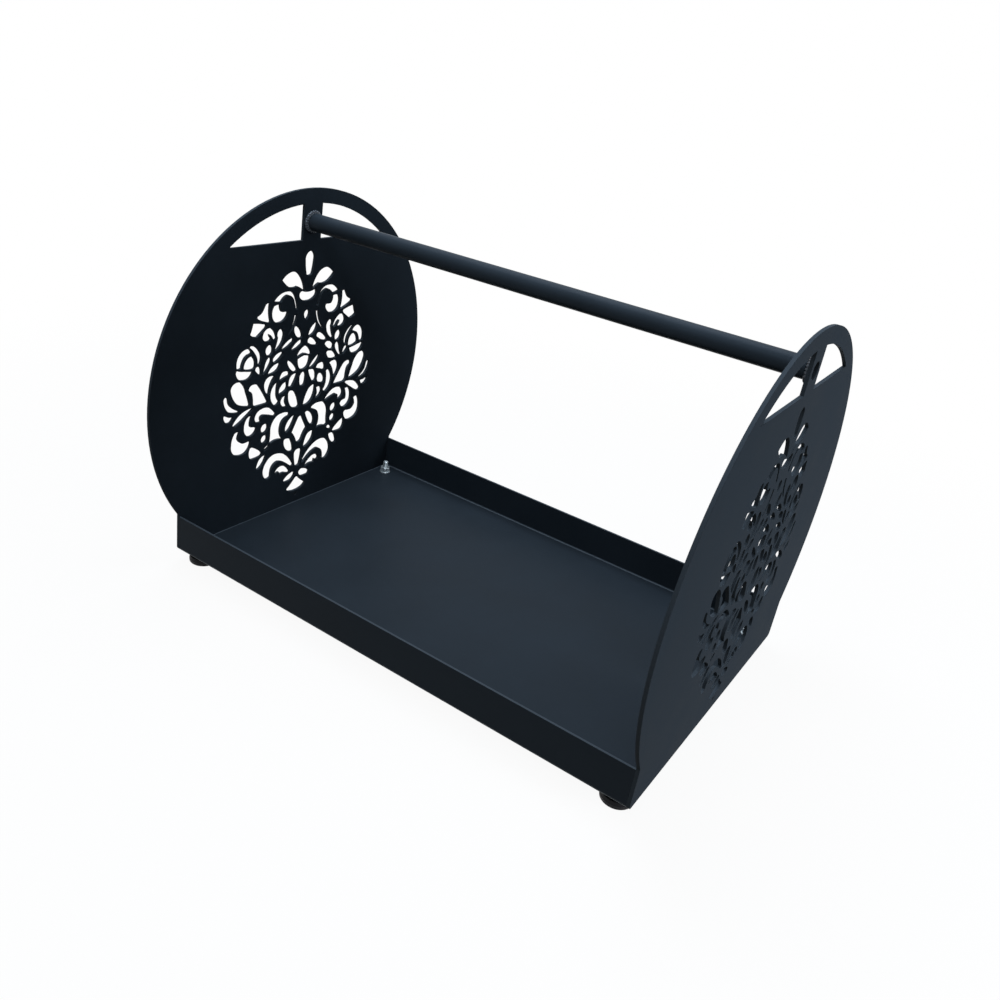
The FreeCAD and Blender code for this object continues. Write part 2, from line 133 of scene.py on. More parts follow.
def linear(code):
    """sRGB hex text to linear red, green and blue: the inverse of the sRGB transfer curve."""
    value = np.array([int(code[i:i + 2], 16) for i in (1, 3, 5)]) / 255
    return tuple(np.where(value <= 0.04045, value / 12.92, ((value + 0.055) / 1.055) ** 2.4))


def length(label, about, millimetres):
    """A property for a length, written in millimetres and kept in metres."""
    return bpy.props.FloatProperty(
        name=label, description=about, default=millimetres / 1000, min=0, unit="LENGTH", subtype="DISTANCE")


def turn(label, about, degrees):
    """A property for an angle, written in degrees and kept in radians."""
    return bpy.props.FloatProperty(
        name=label, description=about, default=math.radians(degrees), unit="ROTATION", subtype="ANGLE")


def colour(label, about, code):
    """A property for a colour, written as hex text and kept linear."""
    return bpy.props.FloatVectorProperty(
        name=label, description=about, default=linear(code), min=0, max=1, size=3, subtype="COLOR")


class CradleSizes(bpy.types.PropertyGroup):
    thread_pitch: length("Thread pitch", "Rise of the stud's thread in one turn", 1.0)
    thread_depth: length("Thread depth", "Depth of the stud's thread", 0.61)
    stud_diameter: length("Stud diameter", "Outer diameter of the stud's thread", 5.94)
    stud_bevel: length("Stud bevel", "Bevel at the stud's tip", 0.8)
    collar_height: length("Collar height", "Height of the stud's hexagonal collar", 4.4)
    flange_thick: length("Flange thickness", "Thickness of the stud's flange inside the pad", 2.5)
    flange_radius: length("Flange radius", "Radius of the stud's flange inside the pad", 5.0)
    nut_flats: length("Width over flats", "Width of the lock nut and of the collar over two flats", 10.0)
    bore_radius: length("Bore radius", "Radius of the lock nut's and the pad's bore", 3.05)
    hole_radius: length("Hole radius", "Radius of the washer's hole", 3.35)
    pad_radius: length("Pad radius", "Radius of the foot pad", 13.6)
    pad_seat: length("Pad seat", "Height of the floor of the pad's pocket", 2.5)
    pad_round: length("Pad rounding", "Rounding of the pad's base", 2.0)
    ripple_length: length("Weld ripple", "Length of one ripple of the weld bead", 2.3)
    ripple_height: length("Weld ripple height", "Height of the ripples of the weld bead", 0.42)
    edge_round: length("Coated edge", "Rounding that the coat gives to the cut edges", 0.45)
    # The paler lines are painted highlights along the lips, bends and seams.
    line_width: length("Worn line", "Width of the paler lines along the lips, bends and seams", 1.2)


class CradleColours(bpy.types.PropertyGroup):
    coat: colour("Powder coat", "Black of the powder coat", "#272e35")
    coat_thin: colour("Thin coat", "Powder coat where it lies thin or dusty", "#303840")
    # The line colour is a painted highlight on the tray's lips, bends and seams, and painted light on the
    # panels' cut edges.
    line: colour(
        "Worn line", "Paler coat along the lips, bends and seams, and part of it on cut edges", "#5d666f")
    sheen: colour("Sheen", "Tint of the coat's reflections", "#dfecff")
    zinc: colour("Zinc", "Bright zinc plate", "#e9f1f4")
    zinc_dull: colour("Dull zinc", "Zinc plate where it has dulled", "#c3cdd2")
    pad: colour("Foot pad", "Black moulded plastic", "#0d0e12")
    pad_worn: colour("Worn foot pad", "Moulded plastic where it is scuffed", "#1a1b21")
    daylight: colour("Daylight", "Cool white of the lamps", "#e8f4ff")
    floor: colour("Floor", "Pale studio floor", "#f4f4f4")
    floor_dim: colour("Floor bounce", "Warm grey at which the floor lights the part from below", "#80776a")


class CradleStudio(bpy.types.PropertyGroup):
    yaw: turn("Yaw", "Turn of the camera about the upright axis", 31.498)
    pitch: turn("Pitch", "Angle at which the camera looks down", 25.129)
    roll: turn("Roll", "Roll of the camera about its own line of sight", 8.747)
    camera_place: bpy.props.FloatVectorProperty(
        name="Camera", description="Place of the camera", default=(0.39251, -0.68426, 0.50055),
        size=3, unit="LENGTH", subtype="TRANSLATION")
    lens: bpy.props.FloatProperty(
        name="Lens", description="Focal length on a 36 mm sensor", default=33.467, min=1, unit="CAMERA")
    shift: bpy.props.FloatVectorProperty(
        name="Shift", description="Shift of the frame, as shares of its width",
        default=(0.0321, -0.0182), size=2)
    floor_radius: length("Floor radius", "Radius of the studio floor", 6000)
    key_light: bpy.props.FloatProperty(
        name="Key light", description="Power of the softbox overhead", default=25.0, min=0, unit="POWER")
    side_light: bpy.props.FloatProperty(
        name="Side light", description="Power of the softbox on the right", default=20.0, min=0, unit="POWER")
    front_light: bpy.props.FloatProperty(
        name="Front light", description="Power of the strip light above the front",
        default=7.5, min=0, unit="POWER")
    world_light: bpy.props.FloatProperty(
        name="Room light", description="Strength of the white room's light", default=0.06, min=0)


def node(tree, kind, settings=None, inputs=None):
    """Adds one node; inputs are plain values or the sockets that they are linked from."""
    made = tree.nodes.new(kind)
    for key, value in (settings or {}).items():
        setattr(made, key, value)
    for key, value in (inputs or {}).items():
        if isinstance(value, bpy.types.NodeSocket):
            tree.links.new(value, made.inputs[key])
        else:
            made.inputs[key].default_value = value
    return made


def blank_material(name):
    """A material with an empty node tree and its output node."""
    made = bpy.data.materials.get(name) or bpy.data.materials.new(name)
    made.use_nodes = True
    made.node_tree.nodes.clear()
    return made, made.node_tree, node(made.node_tree, "ShaderNodeOutputMaterial")


def rgba(value):
    """A colour with full alpha."""
    return (*value, 1.0)


def powder_coat(look, sizes, colours, lines=None):
    """Black polyester powder coat on sheet steel, sprayed dry and cured: matt black with a faint orange
    peel, soft cloudy changes of shade, a few pale grains of dust and edges that the coat has rounded.
    The look gives its gloss, dullness and share of the written colour, a share that darkens or lightens the
    one black coat as painted shade or a painted highlight; lines masks its paler places, which are painted
    highlights and painted light."""
    gloss, dullness, share = COAT_LOOKS[look]
    made, tree, output = blank_material("black_powder_coat_" + look)
    place = node(tree, "ShaderNodeTexCoord").outputs["Object"]
    # Orange peel about 1.4 mm across.
    grain = node(tree, "ShaderNodeTexNoise", inputs={
        "Vector": place, "Scale": 1 / 0.0014, "Detail": 2.0, "Roughness": 0.5}).outputs["Fac"]
    # Shade that changes over about 70 mm, as the spray gun passed.
    cloud = node(tree, "ShaderNodeTexNoise", inputs={
        "Vector": place, "Scale": 1 / 0.07, "Detail": 3.0, "Roughness": 0.55}).outputs["Fac"]
    # Dust grains of about 1 mm: only the peaks of a 3.2 mm noise show.
    speck = node(tree, "ShaderNodeTexNoise", inputs={
        "Vector": place, "Scale": 1 / 0.0032, "Detail": 1.0, "Roughness": 0.4}).outputs["Fac"]
    dust = node(tree, "ShaderNodeMapRange", {"interpolation_type": "SMOOTHSTEP"}, {
        "Value": speck, "From Min": 0.72, "From Max": 0.80, "To Min": 0.0, "To Max": 0.55}).outputs[0]
    thin = node(tree, "ShaderNodeMapRange", inputs={
        "Value": cloud, "From Min": 0.3, "From Max": 0.75, "To Min": 0.0, "To Max": 0.45}).outputs[0]
    shade = node(tree, "ShaderNodeMath", {"operation": "MAXIMUM"}, {0: dust, 1: thin}).outputs[0]
    # The share paints shade on the panels' coat and a highlight on the handle's.
    tone = node(tree, "ShaderNodeMix", {"data_type": "RGBA"}, {
        0: shade, 6: rgba([share * value for value in colours.coat]),
        7: rgba([share * value for value in colours.coat_thin])}).outputs[2]
    # The paler places in the line colour are painted highlights and painted light.
    if lines:
        tone = node(tree, "ShaderNodeMix", {"data_type": "RGBA"}, {
            0: lines(tree, place), 6: tone, 7: rgba(colours.line)}).outputs[2]
    dull = node(tree, "ShaderNodeMapRange", inputs={
        "Value": cloud, "From Min": 0.25, "From Max": 0.75,
        "To Min": dullness - DULL_SPREAD, "To Max": dullness + DULL_SPREAD}).outputs[0]
    rounded = node(tree, "ShaderNodeBevel", {"samples": 6}, {"Radius": sizes.edge_round}).outputs[0]
    bump = node(tree, "ShaderNodeBump", inputs={
        "Strength": 0.5, "Distance": 0.00006, "Height": grain, "Normal": rounded}).outputs[0]
    coat = node(tree, "ShaderNodeBsdfPrincipled", inputs={
        "Base Color": tone, "Roughness": dull, "Normal": bump, "IOR": 1.5, "Specular IOR Level": gloss,
        "Specular Tint": rgba(colours.sheen)})
    tree.links.new(coat.outputs[0], output.inputs["Surface"])
    return made


def cut_edge_painted_light(tree, place):
    """Mask of painted light on the laser-cut edges of a panel, whatever the place: a part of the line colour,
    which lightens the cut walls as if lit, where the surface does not face along the tray, and none on the
    two faces."""
    facing = node(tree, "ShaderNodeTexCoord").outputs["Normal"]
    across = node(tree, "ShaderNodeSeparateXYZ", inputs={0: facing}).outputs["X"]
    flat = node(tree, "ShaderNodeMath", {"operation": "ABSOLUTE"}, {0: across}).outputs[0]
    return node(tree, "ShaderNodeMapRange", inputs={
        "Value": flat, "From Min": 0.3, "From Max": 0.7, "To Min": EDGE_LIGHT_SHARE, "To Max": 0.0}).outputs[0]


def zinc_plate(colours):
    """Bright zinc plate on turned and pressed steel: a cool bright metal, a little cloudy and dulled,
    with fine marks around the part from the machine."""
    made, tree, output = blank_material("bright_zinc_plate")
    place = node(tree, "ShaderNodeTexCoord").outputs["Object"]
    # Cloudy bloom about 2.5 mm across.
    bloom = node(tree, "ShaderNodeTexNoise", inputs={
        "Vector": place, "Scale": 1 / 0.0025, "Detail": 4.0, "Roughness": 0.6}).outputs["Fac"]
    # Machine marks 0.25 mm apart up the part, drawn out to 4 mm sideways.
    stretched = node(tree, "ShaderNodeMapping", inputs={
        "Vector": place, "Scale": (1 / 0.004, 1 / 0.004, 1 / 0.00025)}).outputs[0]
    marks = node(tree, "ShaderNodeTexNoise", inputs={
        "Vector": stretched, "Scale": 1.0, "Detail": 2.0, "Roughness": 0.5}).outputs["Fac"]
    bright = node(tree, "ShaderNodeMapRange", inputs={
        "Value": bloom, "From Min": 0.3, "From Max": 0.7, "To Min": 0.0, "To Max": 1.0}).outputs[0]
    tone = node(tree, "ShaderNodeMix", {"data_type": "RGBA"}, {
        0: bright, 6: rgba(colours.zinc), 7: rgba(colours.zinc_dull)}).outputs[2]
    dull = node(tree, "ShaderNodeMapRange", inputs={
        "Value": marks, "From Min": 0.25, "From Max": 0.75, "To Min": 0.32, "To Max": 0.46}).outputs[0]
    bump = node(tree, "ShaderNodeBump", inputs={
        "Strength": 0.25, "Distance": 0.00002, "Height": marks}).outputs[0]
    plate = node(tree, "ShaderNodeBsdfPrincipled", inputs={
        "Base Color": tone, "Roughness": dull, "Normal": bump, "Metallic": 0.6})
    tree.links.new(plate.outputs[0], output.inputs["Surface"])
    return made


def moulded_plastic(colours):
    """Black moulded polyamide: a dense black with a fine spark-eroded grain, paler where it is scuffed."""
    made, tree, output = blank_material("black_moulded_polyamide")
    place = node(tree, "ShaderNodeTexCoord").outputs["Object"]
    # Spark grain about 0.5 mm across.
    grain = node(tree, "ShaderNodeTexVoronoi", inputs={
        "Vector": place, "Scale": 1 / 0.0005}).outputs["Distance"]
    # Scuffs about 4 mm long.
    scuff = node(tree, "ShaderNodeTexNoise", inputs={
        "Vector": place, "Scale": 1 / 0.004, "Detail": 5.0, "Roughness": 0.65}).outputs["Fac"]
    worn = node(tree, "ShaderNodeMapRange", {"interpolation_type": "SMOOTHSTEP"}, {
        "Value": scuff, "From Min": 0.5, "From Max": 0.72, "To Min": 0.0, "To Max": 0.8}).outputs[0]
    tone = node(tree, "ShaderNodeMix", {"data_type": "RGBA"}, {
        0: worn, 6: rgba(colours.pad), 7: rgba(colours.pad_worn)}).outputs[2]
    dull = node(tree, "ShaderNodeMapRange", inputs={
        "Value": scuff, "From Min": 0.3, "From Max": 0.7, "To Min": 0.38, "To Max": 0.55}).outputs[0]
    bump = node(tree, "ShaderNodeBump", inputs={
        "Strength": 0.2, "Distance": 0.00003, "Height": grain}).outputs[0]
    body = node(tree, "ShaderNodeBsdfPrincipled", inputs={
        "Base Color": tone, "Roughness": dull, "Normal": bump, "IOR": 1.53, "Specular IOR Level": 0.12})
    tree.links.new(body.outputs[0], output.inputs["Surface"])
    return made


def background_rays(tree):
    """1 where a ray comes straight from the camera, a reflection or a clear body, else 0."""
    path = node(tree, "ShaderNodeLightPath").outputs
    seen = node(tree, "ShaderNodeMath", {"operation": "MAXIMUM"}, {
        0: path["Is Camera Ray"], 1: path["Is Glossy Ray"]}).outputs[0]
    return node(tree, "ShaderNodeMath", {"operation": "MAXIMUM"}, {
        0: seen, 1: path["Is Transmission Ray"]}).outputs[0]


def pale_floor(colours):
    """Matt painted board: a pale diffuse floor with a faint mottle that takes the soft shadow. It reads as
    white to the camera, wholly so away from the part, where it meets the white room."""
    made, tree, output = blank_material("matt_painted_board")
    place = node(tree, "ShaderNodeTexCoord").outputs["Object"]
    # Roller mottle about 12 mm across.
    mottle = node(tree, "ShaderNodeTexNoise", inputs={
        "Vector": place, "Scale": 1 / 0.012, "Detail": 2.0}).outputs["Fac"]
    tone = node(tree, "ShaderNodeMix", {"data_type": "RGBA"}, {
        0: mottle, 6: rgba(colours.floor),
        7: rgba([MOTTLE_SHADE * value for value in colours.floor])}).outputs[2]
    board = node(tree, "ShaderNodeBsdfDiffuse", inputs={"Color": tone}).outputs[0]
    glow = node(tree, "ShaderNodeEmission", inputs={"Color": WHITE, "Strength": 1.0}).outputs[0]
    away = node(tree, "ShaderNodeVectorMath", {"operation": "LENGTH"}, {0: place}).outputs["Value"]
    share = node(tree, "ShaderNodeMapRange", {"interpolation_type": "SMOOTHSTEP"}, {
        "Value": away, "From Min": 0.35, "From Max": 1.1, "To Min": 0.94, "To Max": 1.0}).outputs[0]
    white = node(tree, "ShaderNodeMixShader", inputs={0: share, 1: board, 2: glow}).outputs[0]
    dim = node(tree, "ShaderNodeBsdfDiffuse", inputs={"Color": rgba(colours.floor_dim)}).outputs[0]
    either = node(tree, "ShaderNodeMixShader", inputs={
        0: background_rays(tree), 1: dim, 2: white}).outputs[0]
    tree.links.new(either, output.inputs["Surface"])
    return made


def turned_mesh(name, radius, height, centre, loop):
    """Mesh of a surface of revolution: the point at row s and turn t is the centre plus
    (r cos t, r sin t, z), with r and z given for every row and turn. A looped profile closes on its first
    row; otherwise the first and last rows lie on the axis and become one pole each."""
    rows, turns = np.broadcast_shapes(radius.shape, height.shape)
    radius = np.broadcast_to(radius, (rows, turns))
    height = np.broadcast_to(height, (rows, turns))
    angle = np.arange(turns) * (2 * np.pi / turns)
    points = np.stack([
        centre[0] + radius * np.cos(angle), centre[1] + radius * np.sin(angle), centre[2] + height], axis=-1)
    return grid_mesh(name, points, loop)


def grid_mesh(name, points, loop):
    """Mesh over a grid of points that closes along its turns. Each quad joins a row to the next. An open
    grid keeps one point of its first row and one of its last, and a fan of triangles closes each end."""
    rows, turns = points.shape[:2]
    index = np.arange(rows * turns).reshape(rows, turns)
    ahead = np.roll(index, -1, axis=1)
    low, high = (index, np.roll(index, -1, axis=0)) if loop else (index[1:-2], index[2:-1])
    low_ahead, high_ahead = (ahead, np.roll(ahead, -1, axis=0)) if loop else (ahead[1:-2], ahead[2:-1])
    dropped = 0 if loop else turns - 1
    quads = np.stack([low, low_ahead, high_ahead, high], axis=-1).reshape(-1, 4) - dropped
    faces, spots = quads.tolist(), points.reshape(-1, 3)
    if not loop:
        first, last = np.full(turns, turns - 1), np.full(turns, (rows - 1) * turns)
        fans = np.concatenate([
            np.stack([first, ahead[1], index[1]], axis=-1), np.stack([last, index[-2], ahead[-2]], axis=-1)])
        faces += (fans - dropped).tolist()
        spots = spots[dropped:(rows - 1) * turns + 1]
    mesh = bpy.data.meshes.new(name)
    mesh.from_pydata(spots.tolist(), [], faces)
    mesh.polygons.foreach_set("use_smooth", np.ones(len(mesh.polygons), bool))
    mesh.set_sharp_from_angle(angle=SHARP_ANGLE)
    mesh.update()
    mesh.validate()
    return mesh


def add_piece(name, mesh, material, body, replaced):
    """Puts a finished mesh in the scene in the place of a CAD node."""
    made = bpy.data.objects.new(name, mesh)
    bpy.context.scene.collection.objects.link(made)
    mesh.materials.append(material)
    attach(made, body)
    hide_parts(replaced)


def column(values):
    """Values as an array of one column, one row each."""
    return np.array(values, float)[:, None]


def foot_centre(place):
    """The point on the ground under the middle of a foot."""
    low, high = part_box(place + "_washer")
    return (low.x + high.x) / 2, (low.y + high.y) / 2, 0.0


def hexagon_radius(flats, turns):
    """Distance from the middle to the side of a hexagon for each turn: half the width over flats divided
    by the cosine of the turn from the middle of the nearest flat."""
    angle = np.arange(turns) * (360 / turns) % 60 - 30
    return flats / 2 / np.cos(np.radians(angle))


def rounded_corner(r, z, radius, start, steps):
    """A quarter circle of a profile about (r, z), from one direction in degrees to a quarter turn on."""
    angle = np.radians(np.linspace(start, start + 90, steps))
    return np.stack([r + radius * np.cos(angle), z + radius * np.sin(angle)], axis=-1).tolist()


class CRADLE_OT_powder_coat(bpy.types.Operator):
    """Coat the side panels, the tray and the handle"""
    bl_idname = "cradle.powder_coat"
    bl_label = "Powder Coat"

    def execute(self, context):
        sizes, colours = context.scene.cradle_sizes, context.scene.cradle_colours
        coats = {
            "panel_coat": powder_coat("panels", sizes, colours, cut_edge_painted_light),
            "tray_coat": powder_coat("tray", sizes, colours, self.tray_painted_highlights(sizes)),
            "handle_coat": powder_coat("handle", sizes, colours),
        }
        for name, slot in COATED.items():
            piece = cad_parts[name]
            piece.data.materials.clear()
            piece.data.materials.append(coats[slot])
        return {"FINISHED"}

    def tray_painted_highlights(self, sizes):
        """Mask of the painted highlights: paler lines on the top of the lips, the foot of both walls and the
        seams at the ends.
        """
        low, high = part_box("log_tray")
        width = sizes.line_width
        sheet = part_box("front_left_washer")[0].z - low.z

        def lines(tree, place):
            parts = node(tree, "ShaderNodeSeparateXYZ", inputs={0: place}).outputs
            along = node(tree, "ShaderNodeMath", {"operation": "ABSOLUTE"}, {0: parts["X"]}).outputs[0]
            across = node(tree, "ShaderNodeMath", {"operation": "ABSOLUTE"}, {0: parts["Y"]}).outputs[0]
            # The measure, where each painted highlight line starts, where it is full and its strength.
            masks = [
                (parts["Z"], high.z - width * 0.35, high.z - width * 0.1, 0.4),
                (along, high.x - width, high.x - width * 0.4, 1.0),
                (parts["Z"], low.z + sheet + width * 1.5, low.z + sheet + width * 0.2, 1.0),
                (across, high.y - sheet - width * 1.4, high.y - sheet - width * 0.7, 1.0)]
            lip, end, foot, inner = [
                node(tree, "ShaderNodeMapRange", {"interpolation_type": "SMOOTHSTEP"}, {
                    "Value": value, "From Min": start, "From Max": full, "To Max": most}).outputs[0]
                for value, start, full, most in masks]
            bend = node(tree, "ShaderNodeMath", {"operation": "MULTIPLY"}, {0: foot, 1: inner}).outputs[0]
            seam = node(tree, "ShaderNodeMath", {"operation": "MULTIPLY"}, {0: foot, 1: end}).outputs[0]
            shown = node(tree, "ShaderNodeMath", {"operation": "MAXIMUM"}, {0: bend, 1: seam}).outputs[0]
            return node(tree, "ShaderNodeMath", {"operation": "MAXIMUM"}, {0: shown, 1: lip}).outputs[0]

        return lines


class CRADLE_OT_weld_beads(bpy.types.Operator):
    """Lay the rippled weld beads around both ends of the handle"""
    bl_idname = "cradle.weld_beads"
    bl_label = "Weld Beads"

    def execute(self, context):
        sizes, colours = context.scene.cradle_sizes, context.scene.cradle_colours
        material = powder_coat("weld", sizes, colours)
        for name, side in (("left_handle_weld", -1), ("right_handle_weld", 1)):
            mesh = self.bead(name + "_bead", name, side, sizes)
            add_piece(name + "_bead", mesh, material, "cradle", name)
        return {"FINISHED"}

    def bead(self, label, name, side, sizes):
        """A crowned fillet carried around the handle's axis. Its legs grow and shrink with a saw-toothed
        ripple, steep on one side as in stacked drops, and with two slow waves of a hand-laid weld."""
        low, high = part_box(name)
        tube_low, tube_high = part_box("carry_handle")
        middle = (tube_low.z + tube_high.z) / 2
        root = (tube_high.z - tube_low.z) / 2 + WELD_GAP
        leg = high.x - low.x
        face = high.x if side > 0 else low.x
        angle = np.arange(BEAD_TURNS) * (2 * np.pi / BEAD_TURNS)
        count = round(2 * np.pi * root / sizes.ripple_length)
        drift = 0.25 * np.sin(2 * angle + side)
        phase = (angle * count / (2 * np.pi) + drift) % 1
        rising = np.sin(phase / RIPPLE_RISE * np.pi / 2)
        falling = np.cos((phase - RIPPLE_RISE) / (1 - RIPPLE_RISE) * np.pi / 2)
        ripple = np.where(phase < RIPPLE_RISE, rising, falling)
        wave = 0.5 + 0.3 * np.sin(3 * angle + 0.7 * side) + 0.2 * np.sin(5 * angle + 1.3)
        short = RIPPLE_SHARE + WAVE_SHARE - ripple * RIPPLE_SHARE - wave * WAVE_SHARE
        reach = leg - sizes.ripple_height * short
        bow = np.linspace(0, 1, BEAD_ROWS)[:, None]
        bulge = np.sin(np.pi * bow)
        crown = sizes.ripple_height * ripple * bulge * RIPPLE_SHARE + BEAD_CROWN * bulge
        corner = np.zeros((1, BEAD_TURNS))
        away = np.concatenate([corner, bow * reach + crown * CROWN_SHARE])
        out = np.concatenate([corner, (1 - bow) * reach + crown * CROWN_SHARE])
        points = np.stack([
            face - side * away, (root + out) * np.cos(angle), middle + (root + out) * np.sin(angle)], axis=-1)
        return grid_mesh(label, points[::-1] if side < 0 else points, True)


class CRADLE_OT_foot_studs(bpy.types.Operator):
    """Cut the threaded studs of the levelling feet"""
    bl_idname = "cradle.foot_studs"
    bl_label = "Foot Studs"

    def execute(self, context):
        sizes = context.scene.cradle_sizes
        material = zinc_plate(context.scene.cradle_colours)
        for place in PLACES:
            mesh = self.stud(place + "_threaded_stud", place, sizes)
            add_piece(place + "_threaded_stud", mesh, material, place + "_stud", place + "_foot_stud")
        return {"FINISHED"}

    def stud(self, label, place, sizes):
        """A round bar about the foot's axis. Up the thread the radius is the outer radius less a triangle
        wave of the height in pitches less the turn, which makes a right-handed helix; the collar's radius
        is a hexagon cut by cones at its top and bottom, and the flange has small bevels."""
        low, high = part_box(place + "_foot_stud")
        angle = np.arange(STUD_TURNS) / STUD_TURNS
        outer, collar_top = sizes.stud_diameter / 2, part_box("log_tray")[0].z
        collar_low = collar_top - sizes.collar_height
        flange_top = low.z + sizes.flange_thick
        flat = hexagon_radius(sizes.nut_flats, STUD_TURNS)
        cone = sizes.nut_flats / 2 * COLLAR_CONE
        rise = np.linspace(0, sizes.collar_height, COLLAR_ROWS)
        edge = np.minimum(rise, sizes.collar_height - rise)[:, None] / HEX_CONE
        collar = np.minimum(flat[None, :], cone + edge)
        thread_z = np.arange(collar_top + THREAD_START, high.z, sizes.thread_pitch / ROWS_PER_PITCH)
        wave = (thread_z[:, None] / sizes.thread_pitch - angle[None, :]) % 1
        tooth = np.clip(np.abs(wave - 0.5) * TOOTH_SLOPE - TOOTH_CREST, 0, 1)
        run_out = np.clip((high.z - thread_z) / sizes.stud_bevel, 0, 1)[:, None]
        thread = outer - sizes.thread_depth * tooth
        thread = np.minimum(thread, outer - sizes.stud_bevel * (1 - run_out))
        whole = np.ones((1, STUD_TURNS))
        flange, flange_end = sizes.flange_radius * whole, (sizes.flange_radius - FLANGE_BEVEL) * whole
        radius = np.concatenate([
            0 * whole, flange_end, flange, flange, flange_end, outer * whole, outer * whole,
            collar, outer * whole, thread, (outer - sizes.stud_bevel) * TIP_SHARE * whole, 0 * whole])
        height = np.concatenate([
            column([
                low.z, low.z, low.z + FLANGE_BEVEL, flange_top - FLANGE_BEVEL, flange_top, flange_top,
                collar_low]),
            collar_low + rise[:, None], column([collar_top]), thread_z[:, None], column([high.z, high.z])])
        return turned_mesh(label, radius, height, foot_centre(place), False)


class CRADLE_OT_lock_nuts(bpy.types.Operator):
    """Put the hexagonal lock nuts on the studs"""
    bl_idname = "cradle.lock_nuts"
    bl_label = "Lock Nuts"

    def execute(self, context):
        sizes = context.scene.cradle_sizes
        material = zinc_plate(context.scene.cradle_colours)
        for place in PLACES:
            mesh = self.nut(place + "_hex_nut", place, sizes)
            add_piece(place + "_hex_nut", mesh, material, "cradle", place + "_lock_nut")
        return {"FINISHED"}

    def nut(self, label, place, sizes):
        """A ring about the foot's axis: its side is a hexagon cut by 30 degree cones at the top and bottom,
        its bore a cylinder with a countersink at each end."""
        low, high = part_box(place + "_lock_nut")
        tall = high.z - low.z
        rise = np.linspace(0, tall, NUT_ROWS)
        edge = np.minimum(rise, tall - rise)[:, None] / HEX_CONE
        flat = hexagon_radius(sizes.nut_flats, NUT_TURNS)
        side = np.minimum(flat[None, :], sizes.nut_flats / 2 * NUT_CONE + edge)
        whole = np.ones((1, NUT_TURNS))
        bore, sink = sizes.bore_radius * whole, (sizes.bore_radius + NUT_SINK) * whole
        radius = np.concatenate([side, sink, bore, bore, sink])
        height = np.concatenate([rise[:, None], column([tall, tall - NUT_SINK, NUT_SINK, 0.0])]) + low.z
        return turned_mesh(label, radius, height, foot_centre(place), True)


class CRADLE_OT_washers(bpy.types.Operator):
    """Lay the flat washers under the lock nuts"""
    bl_idname = "cradle.washers"
    bl_label = "Washers"

    def execute(self, context):
        sizes = context.scene.cradle_sizes
        material = zinc_plate(context.scene.cradle_colours)
        for place in PLACES:
            mesh = self.washer(place + "_flat_washer", place, sizes)
            add_piece(place + "_flat_washer", mesh, material, "cradle", place + "_washer")
        return {"FINISHED"}

    def washer(self, label, place, sizes):
        """A ring about the foot's axis with a rounded rim: its profile goes up the side, over the rounded
        top edge, along the top, over a small bevel and down the hole, and closes along the base."""
        low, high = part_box(place + "_washer")
        outer, tall, hole = (high.x - low.x) / 2, high.z - low.z, sizes.hole_radius
        soft = tall * WASHER_ROUND
        profile = [(outer, 0.0)] + rounded_corner(outer - soft, tall - soft, soft, 0, WASHER_STEPS)
        profile += [(hole + WASHER_SINK, tall), (hole, tall - WASHER_SINK), (hole, 0.0)]
        profile = np.array(profile)
        radius = profile[:, :1] * np.ones((1, WASHER_TURNS))
        return turned_mesh(label, radius, profile[:, 1:] + low.z, foot_centre(place), True)


class CRADLE_OT_foot_pads(bpy.types.Operator):
    """Mould the round pads that the studs turn in"""
    bl_idname = "cradle.foot_pads"
    bl_label = "Foot Pads"

    def execute(self, context):
        sizes = context.scene.cradle_sizes
        material = moulded_plastic(context.scene.cradle_colours)
        for place in PLACES:
            label = place + "_moulded_pad"
            mesh = self.pad(label, place, sizes)
            add_piece(label, mesh, material, place + "_pad", place + "_foot_pad")
        return {"FINISHED"}

    def pad(self, label, place, sizes):
        """A profile turned about the foot's axis: a flat base with a rounded rim, a side that is upright to
        a fine parting line half way up and leans in slightly above it, a rounded top edge, a bevelled neck,
        and the pocket around the stud's flange."""
        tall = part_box(place + "_foot_pad")[1].z
        outer, soft, neck, seat = sizes.pad_radius, sizes.pad_round, sizes.bore_radius, sizes.pad_seat
        line = tall / 2
        pocket, pocket_top = sizes.flange_radius + RUNNING_FIT, seat + sizes.flange_thick + SEAT_CLEAR
        profile = [(0.0, 0.0), (outer * PAD_BASE_SHARE, 0.0)]
        profile += rounded_corner(outer - soft, soft, soft, -90, PAD_BASE_STEPS)
        profile += [(outer, line - PARTING_HALF), (outer + PARTING_RISE, line), (outer, line + PARTING_HALF)]
        profile += rounded_corner(
            outer - PAD_TOP_INSET, tall - PAD_TOP_ROUND, PAD_TOP_ROUND, 0, PAD_TOP_STEPS)
        profile += [(neck + PAD_NECK_BEVEL, tall), (neck, tall - PAD_NECK_BEVEL)]
        profile += [(neck, pocket_top), (pocket, pocket_top), (pocket, seat), (0.0, seat)]
        profile = np.array(profile)
        radius = profile[:, :1] * np.ones((1, PAD_TURNS))
        return turned_mesh(label, radius, profile[:, 1:], foot_centre(place), False)


